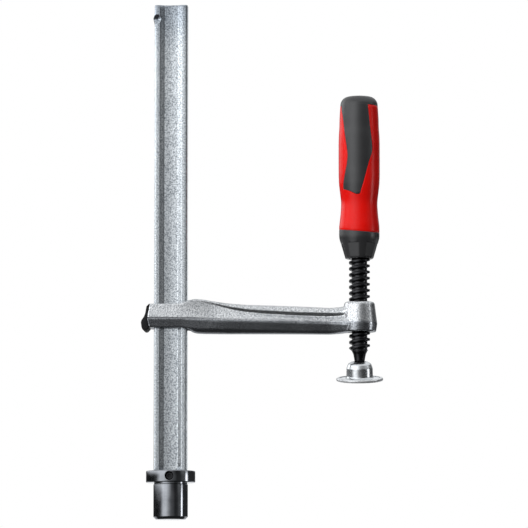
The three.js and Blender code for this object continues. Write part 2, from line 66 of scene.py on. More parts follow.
BOSS_BOTTOM, BOSS_TOP, BOSS_WAIST = 122.0, 146.6, 128.8
BOSS_LOW, BOSS_WIDE, BOSS_HIGH, MOUTH_DEPTH = 13.4, 14.4, 12.2, 2.6
HEAD_BACK = [(-16.7, 145.1), (-18.5, 134.0), (-18.8, 132.8), (-17.2, 125.7)]
BACK_CUT = [(-17.2, 118), (-30, 118), (-30, 155), (-16.5, 155)]  # what is cut off behind HEAD_BACK
SLOT_FLARES = [(118, 7.2), (126.2, 0), (144.6, 0), (153.6, 9)]  # height, and how much wider each way
SHOE_HALF, SHOE_LOW, SHOE_HIGH = 4.0, 127.0, 133.0
VOXEL, VOXEL_QUICK, SMOOTHINGS, SMOOTHINGS_QUICK = 0.42, 0.8, 8, 4
GUARD_HALF, GUARD_EDGE, GUARD_GAP = 11.6, 0.8, 0.24
GUARD_OUTER = [
    (-19.2, 142.8), (-20.3, 136.8), (-21.4, 134.2), (-23.3, 131.6), (-23.7, 129.8),
    (-23.3, 126.2), (-22.6, 124.2), (-21.4, 123.2), (-19.6, 123.4),
]

HANDLE_BOTTOM, HANDLE_LENGTH, HANDLE_BORE = 181.8, 132.9, 72.0


# ------------------------------------------------------------------ mesh helpers

def new_object(name, points, faces, sharp=35.0):
    """An object from points in millimetres, with faces turned outwards and edges smoothed by angle."""
    mesh = bpy.data.meshes.new(name)
    mesh.from_pydata([tuple(p) for p in np.asarray(points, float) * MM], [], faces)
    made = bpy.data.objects.new(name, mesh)
    bpy.context.scene.collection.objects.link(made)
    tidy_normals(made, sharp)
    return made


def from_used(name, points, faces, sharp=40.0):
    """An object from the points that its faces use."""
    used = sorted({v for f in faces for v in f})
    place = {v: i for i, v in enumerate(used)}
    return new_object(name, points[used], [[place[v] for v in f] for f in faces], sharp)


def tidy_normals(obj, sharp=35.0):
    """Turns the faces outwards, and smooths edges flatter than sharp degrees."""
    work = bmesh.new()
    work.from_mesh(obj.data)
    bmesh.ops.recalc_face_normals(work, faces=work.faces)
    work.to_mesh(obj.data)
    work.free()
    obj.data.polygons.foreach_set("use_smooth", [True] * len(obj.data.polygons))
    obj.data.set_sharp_from_angle(angle=math.radians(sharp))
    obj.data.update()


def apply_modifiers(obj):
    """Replaces the mesh with the one that its modifiers make."""
    shown = obj.evaluated_get(bpy.context.evaluated_depsgraph_get())
    mesh = bpy.data.meshes.new_from_object(shown)
    obj.modifiers.clear()
    obj.data = mesh


def combine(obj, tool, operation):
    """Joins, cuts or intersects obj with tool, which is used up."""
    change = obj.modifiers.new("combine", "BOOLEAN")
    change.operation, change.object, change.solver = operation, tool, "EXACT"
    apply_modifiers(obj)
    bpy.data.objects.remove(tool)
    tidy_normals(obj)


def fillet(points, steps=5):
    """A closed outline of (a, b) or (a, b, radius) corners, with its stated corners rounded off."""
    result = []
    count = len(points)
    for i, corner in enumerate(points):
        here = Vector(corner[:2])
        radius = corner[2] if len(corner) > 2 else 0
        before = Vector(points[i - 1][:2]) - here
        after = Vector(points[(i + 1) % count][:2]) - here
        if not radius or before.length < 1e-6 or after.length < 1e-6:
            result.append(tuple(here))
            continue
        turn = before.angle(after)
        cut = min(radius / math.tan(turn / 2), before.length * 0.49, after.length * 0.49)
        start, end = here + before.normalized() * cut, here + after.normalized() * cut
        for s in range(steps + 1):
            t = s / steps
            result.append(tuple(start * (1 - t) ** 2 + here * (2 * t * (1 - t)) + end * t * t))
    return result


def subdivide(outline, step):
    """A closed outline with no stretch longer than step."""
    result = []
    for i, p in enumerate(outline):
        q = outline[(i + 1) % len(outline)]
        parts = max(1, math.ceil(math.dist(p, q) / step))
        result += [(p[0] + (q[0] - p[0]) * k / parts, p[1] + (q[1] - p[1]) * k / parts) for k in range(parts)]
    return result


def turned(name, outline, facets=128, centre=(0, 0, 0)):
    """A turned solid about Z: outline is closed, in (radius, height), and may run along the axis."""
    points, rings = [], []
    for radius, height in outline:
        if radius < 1e-5:
            rings.append([len(points)] * facets)
            points.append((0, 0, height))
            continue
        rings.append(list(range(len(points), len(points) + facets)))
        turn = 2 * math.pi * np.arange(facets) / facets
        points += [(radius * math.cos(t), radius * math.sin(t), height) for t in turn]
    faces = []
    for i, ring in enumerate(rings):
        after = rings[(i + 1) % len(rings)]
        for j in range(facets):
            k = (j + 1) % facets
            corners = list(dict.fromkeys([ring[j], ring[k], after[k], after[j]]))
            if len(corners) > 2:
                faces.append(corners)
    return new_object(name, np.array(points) + np.array(centre), faces)


def loft(name, rings, sharp=35.0):
    """Rings of the same number of (x, y, z) points, joined and closed with fans."""
    count = len(rings[0])
    points = [p for ring in rings for p in ring]
    faces = []
    for r in range(len(rings) - 1):
        for i in range(count):
            j = (i + 1) % count
            a, b = r * count + i, r * count + j
            faces.append((a, b, b + count, a + count))
    for ring, first in ((rings[0], 0), (rings[-1], (len(rings) - 1) * count)):
        points.append(tuple(np.mean(np.array(ring), axis=0)))
        hub = len(points) - 1
        faces += [(hub, first + i, first + (i + 1) % count) for i in range(count)]
    return new_object(name, points, faces, sharp)


def block(name, low, high):
    """A box between two corners."""
    (x0, y0, z0), (x1, y1, z1) = low, high
    square = [(x0, y0), (x1, y0), (x1, y1), (x0, y1)]
    return loft(name, [[(x, y, z0) for x, y in square], [(x, y, z1) for x, y in square]])


def plate_xz(name, outline, low, high):
    """An outline of (x, z) points between two values of Y."""
    return loft(name, [[(x, y, z) for x, z in outline] for y in (low, high)])


def helix(name, low, high, steps, profile):
    """A right-hand thread as a solid rod about the screw axis: profile is (rise, radius) across one turn."""
    per = len(profile)
    first = math.floor((low - CREST_AT) / PITCH) - 1
    total = (math.ceil((high - low) / PITCH) + 2) * steps
    turn = 2 * math.pi * np.arange(total + steps + 1) / steps
    rise = CREST_AT + PITCH * (first + np.arange(total + steps + 1) / steps)
    points = []
    for t, z in zip(turn, rise):
        points += [(r * math.cos(t), r * math.sin(t), z + along) for along, r in profile]
    at = lambda i, m: i * per + m if m < per else (i + steps) * per + m - per
    faces = [(at(i, m), at(i + 1, m), at(i + 1, m + 1), at(i, m + 1))
             for i in range(total) for m in range(per)]
    points.append((0, 0, rise[0] - PITCH))
    points.append((0, 0, rise[-1] + PITCH))
    low_hub, high_hub = len(points) - 2, len(points) - 1
    for i in range(steps):
        faces.append((low_hub, at(i + 1, 0), at(i, 0)))
        faces.append((high_hub, at(total + i, 0), at(total + i + 1, 0)))
    for m in range(per):
        faces.append((low_hub, at(0, m), at(0, m + 1)))
        faces.append((high_hub, at(total, m + 1), at(total, m)))
    return from_used(name, np.array(points) + np.array((SCREW_X, 0, 0)), faces, 35.0)


def thread_profile(clearance=0.0):
    """Rolled thread across one turn, from one root to the next, with rounded crests."""
    major, minor, wide = THREAD_MAJOR + clearance, THREAD_MINOR + clearance, clearance * 0.8
    half = [(0.55, major), (0.85, major - 0.1), (1.08, major - 0.42),
            (1.38, minor + 0.5), (1.62, minor + 0.08), (1.85, minor)]
    half = [(along + wide, radius) for along, radius in half]
    return [(-along, radius) for along, radius in reversed(half)] + half


def finish_piece(obj, body, slot, look, *nodes):
    """Material, body and CAD node of a finished piece."""
    obj.data.materials.clear()
    obj.data.materials.append(look)
    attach(obj, body)
    if nodes:
        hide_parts(*nodes)


# ------------------------------------------------------------------ materials, with colours as linear RGB

WHITE = (1.0, 1.0, 1.0)
SPECKLE_DARK, SPECKLE_LIGHT = 0.42, 0.55  # values of the noise where the darkest and the lightest tone start
CLOUD = [(0.3, (0.88, 0.885, 0.89)), (0.7, WHITE)]

# The rail's colour darkens towards its upper end: the height where this begins, and its tones from there to
# the top.
DARKEN_FROM = 352.0
DARKEN_TONES = [(0.0, WHITE), (0.75, (0.66, 0.69, 0.73)), (1.0, (0.6, 0.62, 0.66))]

# Painted shade at the forging's parting line: the line as (X, height), and how dark the shade is as (X, how
# dark).
LEDGE_HEIGHTS = [(-30, 133.5), (14, 133.3), (20, 133.0), (48, 132.2), (79, 131.5), (130, 130.8), (170, 130.4)]
LEDGE_SHADE_STRENGTH = [(-30, 0.9), (20, 0.8), (45, 0.35), (130, 0.3), (139, 0.0), (170, 0.0)]
LEDGE_LOWEST, LEDGE_HIGHEST = 0.12, 0.14
# Painted shade: how near the line it is darkest and how far it reaches, its tone, and the darker flank below
# the line.
LEDGE_CORE, LEDGE_REACH, LEDGE_SHADE_TONE = 0.4, 1.1, (0.12, 0.12, 0.13)
FLANK_SHADE_BLEND, FLANK_SHADE_TONE = 1.2, (0.62, 0.63, 0.65)


def graph(name):
    """A new material, its node tree, its shader and the place on the object."""
    look = bpy.data.materials.new(name)
    look.use_nodes = True
    tree = look.node_tree
    place = tree.nodes.new("ShaderNodeTexCoord").outputs["Object"]
    return look, tree, tree.nodes["Principled BSDF"], place


def noise(tree, place, size, detail, rough=0.55):
    """Noise whose features are about size millimetres across."""
    made = tree.nodes.new("ShaderNodeTexNoise")
    made.inputs["Scale"].default_value = 1 / (size * MM)
    made.inputs["Detail"].default_value = detail
    made.inputs["Roughness"].default_value = rough
    tree.links.new(place, made.inputs["Vector"])
    return made.outputs["Fac"]


def ramp(tree, value, stops):
    """A colour read from (value, colour) stops."""
    made = tree.nodes.new("ShaderNodeValToRGB")
    band = made.color_ramp
    while len(band.elements) < len(stops):
        band.elements.new(0.5)
    for element, (at, colour) in zip(band.elements, stops):
        element.position = at
        element.color = (*colour, 1)
    tree.links.new(value, made.inputs["Fac"])
    return made.outputs["Color"]


def spread(tree, value, low, high, start=0.3, end=0.7):
    """A value between start and end, spread over low to high."""
    made = tree.nodes.new("ShaderNodeMapRange")
    for key, number in (("From Min", start), ("From Max", end), ("To Min", low), ("To Max", high)):
        made.inputs[key].default_value = number
    tree.links.new(value, made.inputs["Value"])
    return made.outputs["Result"]


def sums(tree, operation, *given):
    """A math node on numbers and links."""
    made = tree.nodes.new("ShaderNodeMath")
    made.operation = operation
    for socket, value in zip(made.inputs, given):
        if isinstance(value, (int, float)):
            socket.default_value = value
        else:
            tree.links.new(value, socket)
    return made.outputs[0]


def mix(tree, factor, a, b, mode="MIX"):
    """Two colours mixed or multiplied."""
    made = tree.nodes.new("ShaderNodeMix")
    made.data_type, made.blend_type = "RGBA", mode
    for socket, given in ((made.inputs[0], factor), (made.inputs[6], a), (made.inputs[7], b)):
        if isinstance(given, (int, float)):
            socket.default_value = given
        elif isinstance(given, tuple):
            socket.default_value = (*given, 1)
        else:
            tree.links.new(given, socket)
    return made.outputs[2]


def bump(tree, shader, height, strength, depth):
    """Relief, whose depth is in millimetres."""
    made = tree.nodes.new("ShaderNodeBump")
    made.inputs["Strength"].default_value = strength
    made.inputs["Distance"].default_value = depth * MM
    tree.links.new(height, made.inputs["Height"])
    tree.links.new(made.outputs["Normal"], shader.inputs["Normal"])


def zinc_plate(name, dark, light, grain, rough, relief, metal=1.0, shade=None, edge=1.0):
    """Zinc on steel: bright and dark speckle over slow clouding, with a fine relief.

    grain and relief are in millimetres, shade makes a further colour, and edge dims the reflections at
    a grazing angle.
    """
    look, tree, shader, place = graph(name)
    speckle = noise(tree, place, grain, 4.0, 0.65)
    slow = noise(tree, place, 18.0, 2.0)
    tone = ramp(tree, speckle, [(SPECKLE_DARK, dark), (SPECKLE_LIGHT, light)])
    tone = mix(tree, 1.0, tone, ramp(tree, slow, CLOUD), "MULTIPLY")
    if shade:
        tone = mix(tree, 1.0, tone, shade(tree, place), "MULTIPLY")
    tree.links.new(tone, shader.inputs["Base Color"])
    tree.links.new(spread(tree, speckle, rough[1], rough[0]), shader.inputs["Roughness"])
    shader.inputs["Metallic"].default_value = metal
    shader.inputs["Specular Tint"].default_value = (edge, edge, edge, 1.0)
    fine = noise(tree, place, grain * 0.7, 2.0)
    bump(tree, shader, fine, 0.6, relief)
    return look


def curve(tree, value, pairs, low, high):
    """A value read from (place, value) pairs, where low and high bound the values."""
    first, last = pairs[0][0], pairs[-1][0]
    made = tree.nodes.new("ShaderNodeFloatCurve")
    points = made.mapping.curves[0].points
    while len(points) < len(pairs):
        points.new(0.5, 0.5)
    for point, (at, number) in zip(points, pairs):
        point.location = ((at - first) / (last - first), (number - low) / (high - low))
        point.handle_type = "VECTOR"
    made.mapping.update()
    tree.links.new(spread(tree, value, 0, 1, first, last), made.inputs["Value"])
    return spread(tree, made.outputs[0], low, high, 0, 1)


def split(tree, place):
    """The X, Y and Z of a place."""
    made = tree.nodes.new("ShaderNodeSeparateXYZ")
    tree.links.new(place, made.inputs["Vector"])
    return made.outputs


def darker_upper_end(tree, place):
    """The rail's colour darkens towards its upper end."""
    near_end = spread(tree, split(tree, place)["Z"], 0, 1, DARKEN_FROM * MM, RAIL_TOP * MM)
    return ramp(tree, near_end, DARKEN_TONES)


def painted_ledge_shade(tree, place):
    """Painted shade: a dark line in the corner above the forging's parting line, and a darker flank below it.
    """
    x, _, z = split(tree, place)
    heights = [(at * MM, height * MM) for at, height in LEDGE_HEIGHTS]
    strengths = [(at * MM, value) for at, value in LEDGE_SHADE_STRENGTH]
    above = sums(tree, "SUBTRACT", z, curve(tree, x, heights, LEDGE_LOWEST, LEDGE_HIGHEST))
    away = sums(tree, "ABSOLUTE", above)
    near = spread(tree, away, 1, 0, LEDGE_CORE * MM, LEDGE_REACH * MM)
    dark = sums(tree, "MULTIPLY", near, curve(tree, x, strengths, 0, 1))
    # painted shade in the corner above the parting line
    corner = ramp(tree, dark, [(0.0, WHITE), (1.0, LEDGE_SHADE_TONE)])
    # painted shade on the flank below the parting line
    below = spread(tree, above, 1, 0, -FLANK_SHADE_BLEND * MM, 0.0)
    return mix(tree, 1.0, corner, ramp(tree, below, [(0.0, WHITE), (1.0, FLANK_SHADE_TONE)]), "MULTIPLY")


def black_oxide(name, dark, light, rough):
    """Blackened steel: a dark mirror that is a little cloudy."""
    look, tree, shader, place = graph(name)
    cloud = noise(tree, place, 6.0, 4.0, 0.6)
    fine = noise(tree, place, 0.5, 2.0)
    tree.links.new(ramp(tree, cloud, [(0.35, dark), (0.7, light)]), shader.inputs["Base Color"])
    tree.links.new(spread(tree, cloud, *rough), shader.inputs["Roughness"])
    shader.inputs["Metallic"].default_value = 1.0
    bump(tree, shader, fine, 0.05, 0.01)
    return look


def plastic(name, dark, light, rough, grain, strength, specular=0.5):
    """Moulded plastic or soft grip with a fine mould texture and a little unevenness in its colour."""
    look, tree, shader, place = graph(name)
    slow = noise(tree, place, 14.0, 2.0)
    fine = noise(tree, place, grain, 2.0)
    tree.links.new(ramp(tree, slow, [(0.3, dark), (0.7, light)]), shader.inputs["Base Color"])
    tree.links.new(spread(tree, fine, rough - 0.05, rough + 0.05), shader.inputs["Roughness"])
    shader.inputs["Specular IOR Level"].default_value = specular
    bump(tree, shader, fine, strength, 0.05)
    return look


LOOKS = {name: make(name, *values) for name, make, *values in (
    ("galvanised_rail", zinc_plate, (0.33, 0.36, 0.39), (0.93, 0.97, 1.0), 0.8, (0.13, 0.18), 0.007, 0.97,
     darker_upper_end),
    # The forging's colour is multiplied by painted shade along its parting line.
    ("galvanised_forging", zinc_plate, (0.42, 0.435, 0.45), (0.98, 0.99, 1.0), 0.85, (0.20, 0.28), 0.03, 0.97,
     painted_ledge_shade, 0.6),
    ("bright_zinc", zinc_plate, (0.74, 0.76, 0.78), (0.84, 0.86, 0.87), 2.5, (0.22, 0.28), 0.01),
    ("worn_zinc", zinc_plate, (0.60, 0.61, 0.62), (0.84, 0.85, 0.86), 1.2, (0.26, 0.34), 0.02, 0.6),
    ("spring_steel", zinc_plate, (0.22, 0.22, 0.24), (0.34, 0.35, 0.37), 0.8, (0.25, 0.4), 0.01),
    ("black_oxide", black_oxide, (0.03, 0.03, 0.032), (0.06, 0.06, 0.064), (0.22, 0.36)),
    ("turned_black", black_oxide, (0.26, 0.27, 0.29), (0.34, 0.35, 0.37), (0.08, 0.15)),
    ("guard_plastic", plastic, (0.006, 0.006, 0.006), (0.012, 0.012, 0.013), 0.7, 0.6, 0.3, 0.3),
    ("red_plastic", plastic, (0.66, 0.005, 0.003), (0.72, 0.006, 0.003), 0.24, 0.5, 0.05, 0.22),
    ("dark_grip", plastic, (0.021, 0.021, 0.022), (0.027, 0.027, 0.028), 0.34, 0.45, 0.3, 0.7),
)}


# ------------------------------------------------------------------ stand

def rail_outline():
    """The rolled section as (x, y) points, with rounded corners and a slope into each groove."""
    t, w = RAIL_THICK_HALF, RAIL_HALF
    floor = t - GROOVE_DEPTH
    right = [(w, t - 0.1, 2.2), (GROOVE_BROW, t, 14.0), (GROOVE_MOUTH, t - 0.05, 1.0),
             (GROOVE_FLOOR, floor + 0.05, 1.2)]
    upper = right + [(0, floor - 0.15, 90.0)] + [(-x, y, r) for x, y, r in reversed(right)]
    lower = [(-x, -y, r) for x, y, r in upper]
    return subdivide(fillet(upper + lower), 0.7)


def punch_end_stop(points):
    """The conical punch mark near the edge away from the spindle, and the metal that it pushes out."""
    x, y, z = points.T
    near = np.exp(-((z - STOP_Z) / STOP_SPREAD) ** 2)
    # The bulge grows over the last 4 mm before the edge, and dies away towards the rear face.
    edge = np.clip((-x - STOP_RADIUS * 2.4) / 4.0, 0, 1) * np.clip((3.0 - y) / 5.0, 0, 1)
    x = x - STOP_BULGE * near * edge
    reach = np.hypot(x - STOP_X, z - STOP_Z) / STOP_RADIUS
    floor = -RAIL_THICK_HALF + STOP_DEPTH * np.clip(1 - reach, 0, 1)
    y = np.where((y < 0) & (reach < 1), np.maximum(y, floor), y)
    return np.stack([x, y, z], axis=1)


def make_rail():
    """The bar with its tenon, and with close rows where the stop is punched."""
    outline = np.array(rail_outline())
    tenon = outline / np.linalg.norm(outline, axis=1)[:, None] * TENON_RADIUS
    heights = [RAIL_FOOT + 0.5, *np.arange(16, 372, 6.0), *np.arange(373.6, 386, 0.3), 388.0, RAIL_TOP - 0.5]
    shrink = np.array([1 - 0.5 / RAIL_HALF, 1 - 0.5 / RAIL_THICK_HALF])
    rings = [(tenon * 0.9, TENON_BOTTOM), (tenon, TENON_BOTTOM + 0.8), (tenon, RAIL_FOOT),
             (outline * shrink, RAIL_FOOT)]
    rings += [(outline, z) for z in heights] + [(outline * shrink, RAIL_TOP)]
    solid = [punch_end_stop(np.column_stack([ring, np.full(len(ring), z)])) for ring, z in rings]
    made = loft("rail_bar", [[tuple(p) for p in ring] for ring in solid], 30)
    finish_piece(made, "stand", "galvanised_rail", LOOKS["galvanised_rail"], "rail")


def make_bolt():
    """Pin and collar with the tenon's bore, and the cross hole in the collar's front."""
    bore, end = TENON_RADIUS + 0.2, TENON_BOTTOM - 0.4
    made = turned("stepped_bolt", fillet([
        (0, PIN_BOTTOM), (PIN - PIN_CHAMFER, PIN_BOTTOM, 0.3), (PIN, PIN_BOTTOM + PIN_CHAMFER, 0.8),
        (PIN, RELIEF_LOW, 0.3), (PIN - RELIEF_DEPTH, RELIEF_LOW + 0.3, 0.2),
        (PIN - RELIEF_DEPTH, RELIEF_HIGH, 0.2), (RELIEF_OUTER, 0, 0.2),
        (COLLAR, 0, 0.9), (COLLAR, COLLAR_HIGH, 1.0), (bore, COLLAR_HIGH, 0.3), (bore, end), (0, end),
    ]), 160)
    hole = turned("hole", [(0, TENON_RADIUS - 1), (CROSS_HOLE, TENON_RADIUS - 1), (CROSS_HOLE, COLLAR - 0.6),
                           (CROSS_HOLE_MOUTH, COLLAR + 0.4), (0, COLLAR + 0.4)], 48)
    forwards = Matrix.Rotation(math.radians(90), 4, "X")
    hole.data.transform(Matrix.Translation((0, 0, CROSS_HOLE_Z * MM)) @ forwards)
    combine(made, hole, "DIFFERENCE")
    finish_piece(made, "stand", "black_oxide", LOOKS["turned_black"], "bolt")


# ------------------------------------------------------------------ sliding arm

# Stations along the arm: X, keel, then (half-width, height) of the bottom edge, the parting line below and
# above, the ledge, the root of the top bead, its side and its crown. The keel is how far the rounded
# underside hangs below its edges.
ARM = [
    (-21, 0, (11.5, 125.7), (12.9, 131.7), (13.1, 132.7), (12.2, 133.8),
     (11.4, 144.3), (11.1, 144.8), (10.4, 145.1)),
    (9, 0, (11.5, 125.7), (12.9, 131.7), (13.1, 132.7), (12.2, 133.8),
     (11.4, 144.3), (11.1, 144.8), (10.4, 145.1)),
    (14, 1.1, (11.5, 125), (12.8, 131.4), (13, 132.6), (12.2, 133.6),
     (11, 146.4), (10.8, 147.2), (10, 147.9)),
    (20, 3, (11.4, 124.3), (12.7, 130.9), (12.9, 132.3), (12.2, 133.3),
     (10.4, 147.3), (10.2, 148.2), (9.2, 148.9)),
    (27, 3.2, (11.3, 124.1), (12.6, 130.5), (12.8, 132), (12.1, 132.9),
     (9.8, 146.7), (9.8, 147.6), (8.2, 148.4)),
    (34, 3.2, (11.3, 124), (12.4, 130), (12.6, 131.8), (11.9, 132.7),
     (8.9, 144.9), (9.2, 146.1), (6.4, 147.1)),
    (48, 3.1, (10.6, 123.7), (12, 129.9), (12.2, 131.5), (11.6, 132.3),
     (7.5, 140.8), (8.2, 143), (5, 145.1)),
    (61, 2.8, (10, 123.4), (11.5, 129.6), (11.7, 131.2), (11.1, 132),
     (6.3, 138.2), (7.3, 141.2), (4.2, 144)),
    (79, 2.4, (9.4, 122.9), (10.9, 129.1), (11.1, 130.9), (10.5, 131.6),
     (5.6, 136.4), (6.8, 140), (3.8, 143.4)),
    (105, 1.9, (8.2, 122.2), (9.7, 128.3), (9.9, 130.7), (9.4, 131.4),
     (5.2, 135), (6.5, 138.6), (3.6, 142.4)),
    (130, 1.9, (7.6, 121.9), (9.3, 127.7), (9.5, 130.2), (9, 130.9),
     (5.2, 134), (6.6, 137.9), (3.8, 141.1)),
    (140, 1.1, (8.4, 121.9), (10.4, 127.4), (10.6, 130), (10, 130.7),
     (6.4, 134.4), (7.6, 138.4), (4.6, 141.9)),
    (146, 0, (9.6, 122), (11.8, 127.2), (12, 129.9), (11.4, 130.5),
     (8.4, 135.4), (9.2, 139.8), (6.2, 144)),
]
ARM_BLUR = 5  # how far the stations are blended along the arm, each way


def arm_section(keel, values):
    """The right half of a section from the underside's middle up to the crown's middle."""
    bottom, low, high, ledge, root, side, crown = values
    belly = [(bottom[0] * share, bottom[1] - keel * (1 - share * share))
             for share in (0, 0.3, 0.55, 0.75, 0.9)]
    top = (0.0, crown[1] + 0.5)
    chain = [root, side, crown, top, (-crown[0], crown[1])]
    bead = []
    for i in range(3):
        before = chain[i - 1] if i else ledge
        p = [np.array(v, float) for v in (before, chain[i], chain[i + 1], chain[i + 2])]
        tension = 0.0 if i == 0 else 1.0
        for s in range(5):
            t = s / 5
            start = (p[2] - p[0]) / 2 * tension + (p[2] - p[1]) * (1 - tension)
            stop = (p[3] - p[1]) / 2
            bead.append((2 * t**3 - 3 * t**2 + 1) * p[1] + (t**3 - 2 * t**2 + t) * start
                        + (-2 * t**3 + 3 * t**2) * p[2] + (t**3 - t**2) * stop)
    return [*belly, bottom, low, high, ledge, *map(tuple, bead), top]


def arm_rings():
    """Sections every millimetre along the arm, blended between the stations."""
    xs = np.array([row[0] for row in ARM], float)
    values = np.array([[row[1], *(v for pair in row[2:] for v in pair)] for row in ARM], float)
    fine = np.arange(xs[0], xs[-1] + 0.1, 1.0)
    table = np.stack([np.interp(fine, xs, column) for column in values.T], axis=1)
    kernel = np.hanning(2 * ARM_BLUR + 1)
    kernel /= kernel.sum()
    padded = np.pad(table, ((ARM_BLUR, ARM_BLUR), (0, 0)), mode="edge")
    table = np.stack([np.convolve(column, kernel, "valid") for column in padded.T], axis=1)
    rings = []
    for x, row in zip(fine, table):
        half = arm_section(row[0], list(zip(row[1::2], row[2::2])))
        rings.append([(x, y, z) for y, z in half] + [(x, -y, z) for y, z in reversed(half[1:-1])])
    return rings


def make_arm():
    """Arm and boss melted together, then the rail's slot, the shoe's window and the thread cut sharp."""
    made = loft("forged_arm", arm_rings())
    combine(made, plate_xz("back_cut", [*HEAD_BACK, *BACK_CUT], -20, 20), "DIFFERENCE")
    boss = turned("boss", fillet([
        (0, BOSS_BOTTOM), (BOSS_LOW, BOSS_BOTTOM, 1.0), (BOSS_WIDE, BOSS_WAIST, 1.2),
        (BOSS_HIGH, BOSS_TOP, 2.6), (0, BOSS_TOP),
    ]), 96, (SCREW_X, 0, 0))
    combine(made, boss, "UNION")
    remesh = made.modifiers.new("remesh", "REMESH")
    remesh.mode, remesh.voxel_size = "VOXEL", VOXEL * MM
    soften = made.modifiers.new("soften", "SMOOTH")
    soften.factor, soften.iterations = 0.5, SMOOTHINGS
    apply_modifiers(made)
    w, t = RAIL_HALF + SLOT_CLEARANCE, RAIL_THICK_HALF + SLOT_CLEARANCE
    square = ((-1, -1), (1, -1), (1, 1), (-1, 1))
    flares = [[(x * (w + grow), y * (t + grow), z) for x, y in square] for z, grow in SLOT_FLARES]
    combine(made, loft("slot", flares), "DIFFERENCE")
    window = block("window", (-22, -SHOE_HALF, SHOE_LOW), (1 - w, SHOE_HALF, SHOE_HIGH))
    combine(made, window, "DIFFERENCE")
    thread = helix("thread_tool", BOSS_BOTTOM - 2, BOSS_TOP + 2, 64, thread_profile(NUT_CLEARANCE))
    combine(made, thread, "DIFFERENCE")
    mouth = THREAD_MAJOR + NUT_CLEARANCE + 0.5
    for z, way in ((BOSS_TOP, 1), (BOSS_BOTTOM, -1)):
        inner = z - way * MOUTH_DEPTH
        cone = [(0, inner), (mouth - MOUTH_DEPTH, inner), (mouth, z), (mouth, z + way), (0, z + way)]
        combine(made, turned("mouth", cone, 64, (SCREW_X, 0, 0)), "DIFFERENCE")
    tidy_normals(made, 40)
    finish_piece(made, "arm", "galvanised_forging", LOOKS["galvanised_forging"], "sliding_arm")


def make_slip_guard():
    """The moulding behind the head, hollowed for the shoe and its spring."""
    inner = [(x - GUARD_GAP, z) for x, z in HEAD_BACK]
    outline = fillet([*inner, *[(x, z, 2.0) for x, z in reversed(GUARD_OUTER)]], 3)
    made = plate_xz("slip_guard_moulding", outline, -GUARD_HALF, GUARD_HALF)
    soften = made.modifiers.new("edges", "BEVEL")
    soften.width, soften.segments = GUARD_EDGE * MM, 3
    soften.limit_method, soften.angle_limit = "ANGLE", math.radians(50)
    apply_modifiers(made)
    half = SHOE_HALF + 0.4
    pocket = block("pocket", (-21.3, -half, SHOE_LOW + 0.2), (-10, half, SHOE_HIGH + 0.2))
    combine(made, pocket, "DIFFERENCE")
    finish_piece(made, "arm", "guard_plastic", LOOKS["guard_plastic"], "slip_guard")


# ------------------------------------------------------------------ spindle and pad

def ball_arc(radius, low, high, steps):
    """Points of an arc about the ball's centre between two elevations in degrees."""
    turns = np.radians(np.linspace(low, high, steps + 1))
    return [(radius * math.cos(t), radius * math.sin(t)) for t in turns]


def make_spindle():
    """Ball, neck, threaded length with run-out at both ends, and the tang inside the handle."""
    core_radius = THREAD_MINOR - 0.1
    globe = [(r, BALL_Z + z) for r, z in ball_arc(BALL, -90, 55, 24)]
    core = [*globe, *((radius, BALL_Z + rise) for radius, rise in NECK),
            (core_radius, THREAD_LOW), (core_radius, THREAD_HIGH - 1.8),
            (TANG, THREAD_HIGH), (TANG, TANG_TOP - 1), (TANG - 1, TANG_TOP), (0, TANG_TOP)]
    made = turned("threaded_spindle", core, 96, (SCREW_X, 0, 0))
    thread = helix("thread", THREAD_LOW, THREAD_HIGH, 64, thread_profile())
    top = THREAD_MAJOR + 0.2
    envelope = turned("envelope", [
        (0, THREAD_LOW - 0.2), (THREAD_MINOR - 0.6, THREAD_LOW - 0.2), (top, THREAD_LOW + 2.4),
        (top, THREAD_HIGH - 1.5), (TANG, THREAD_HIGH), (0, THREAD_HIGH),
    ], 96, (SCREW_X, 0, 0))
    combine(thread, envelope, "INTERSECT")
    combine(made, thread, "UNION")
    finish_piece(made, "spindle", "black_oxide", LOOKS["black_oxide"], "spindle")


def tilt_pad(obj):
    """Moves a piece turned about the origin to the ball's centre, hanging tilted."""
    place = Matrix.Translation((SCREW_X * MM, 0, BALL_Z * MM))
    obj.data.transform(place @ Matrix.Rotation(PAD_TILT, 4, "X"))


def make_pad():
    """The hat over the ball, and the disc whose rim is rolled over the hat's brim.

    Heights are from the ball's centre.
    """
    plate_top = PAD_BOTTOM + PLATE_THICK
    face = plate_top + 0.2
    flange_top = face + CAP_WALL
    lip = ball_arc(BALL + RUNNING, 20, 36, 4)
    cap = turned("pad_hat", fillet([
        (HAT_BRIM, face), (HAT_BRIM, flange_top, 0.2), (DOME + 0.2, flange_top, 2.0),
        (DOME, HAT_TOP - 5.2, 3.0), (DOME - 1.3, HAT_TOP - 1.5, 2.5), (HAT_MOUTH, HAT_TOP, 0.4),
        *reversed(lip), (DOME - CAP_WALL, lip[0][1], 0.6), (DOME - CAP_WALL, face, 0.8),
    ], 8), 160)
    tilt_pad(cap)
    finish_piece(cap, "pad", "bright_zinc", LOOKS["bright_zinc"], "pad_cap")
    hem_top, hem_inner, groove = flange_top + 0.4, HAT_BRIM - 0.3, HAT_BRIM + 0.3
    plate = turned("pad_disc", fillet([
        (0, PAD_BOTTOM), (FLANGE, PAD_BOTTOM, 1.3), (FLANGE, hem_top, 1.2), (hem_inner, hem_top, 0.5),
        (hem_inner, flange_top + 0.1, 0.1), (groove, flange_top + 0.1), (groove, plate_top), (0, plate_top),
    ], 7), 160)
    tilt_pad(plate)
    finish_piece(plate, "pad", "bright_zinc", LOOKS["worn_zinc"], "pad_plate")


# ------------------------------------------------------------------ handle

